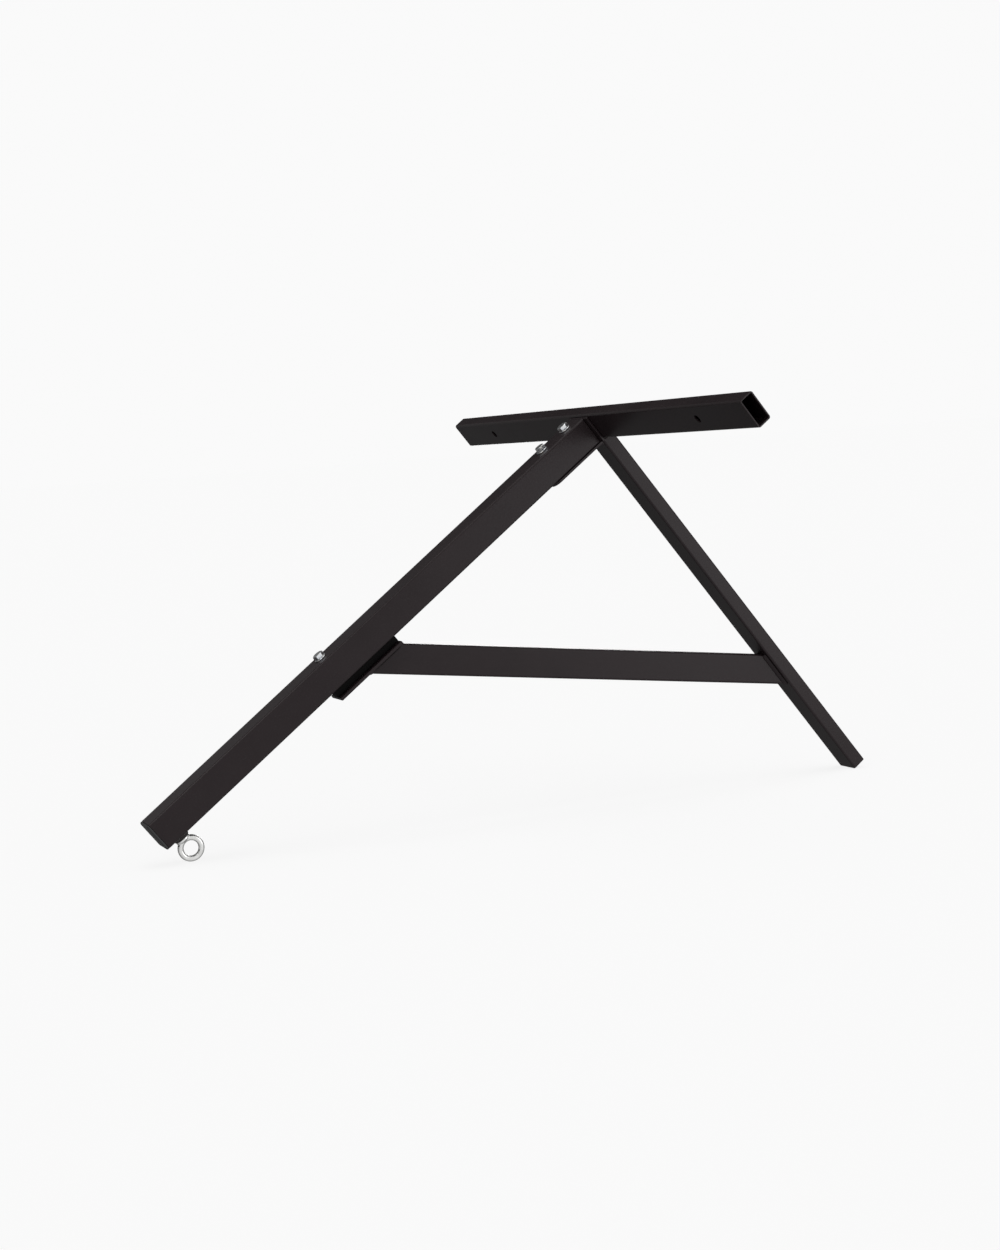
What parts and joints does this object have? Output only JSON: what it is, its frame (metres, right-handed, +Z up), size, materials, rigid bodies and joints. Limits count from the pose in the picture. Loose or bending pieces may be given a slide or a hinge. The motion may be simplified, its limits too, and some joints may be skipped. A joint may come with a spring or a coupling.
{
  "type": "wall bracket",
  "caption": "Wall bracket for a hanging load: a welded T of flat steel tube, a bolted square arm, a diagonal brace and a lifting eye under the arm's free end.",
  "frame": {"origin": "centre of the crossbar's back face, which lies against the wall", "axes": "+X along the crossbar, +Z up the wall, +Y into the wall, so that the arm reaches out along -Y"},
  "size_m": [0.88, 0.796, 0.6475],
  "materials": {
    "black_powder_coat": "satin black powder coat",
    "black_plastic": "satin moulded",
    "black_rubber": "dull",
    "zinc_plate": "bright zinc plate",
    "bright_steel": "polished, plated forging"
  },
  "bodies": {
    "bracket": {"crossbar": "black_powder_coat", "upright": "black_powder_coat", "seat_plate": "black_powder_coat", "brace": "black_powder_coat", "brace_plate": "black_powder_coat", "brace_spacer": "black_rubber", "arm_tube": "black_powder_coat", "arm_end_plate": "black_powder_coat", "arm_end_cap": "black_plastic", "eye_boss": "black_powder_coat", "brace_bolt": "zinc_plate", "brace_bolt_washer": "zinc_plate", "seat_bolt_1": "zinc_plate", "seat_bolt_washer_1": "zinc_plate", "seat_bolt_2": "zinc_plate", "seat_bolt_washer_2": "zinc_plate", "weld_upright_right": "black_powder_coat", "weld_upright_left": "black_powder_coat", "weld_brace_top_right": "black_powder_coat", "weld_brace_top_left": "black_powder_coat", "weld_brace_foot_right": "black_powder_coat", "weld_brace_foot_left": "black_powder_coat", "weld_seat": "black_powder_coat", "weld_eye_boss": "black_powder_coat"},
    "eye": {"eyebolt": "bright_steel"}
  },
  "joints": [
    {"name": "eye_turn", "type": "hinge", "parent": "bracket", "child": "eye", "pos_m": [0, -0.771, -0.0285], "axis": [0, 0, 1], "continuous": true}
  ]
}
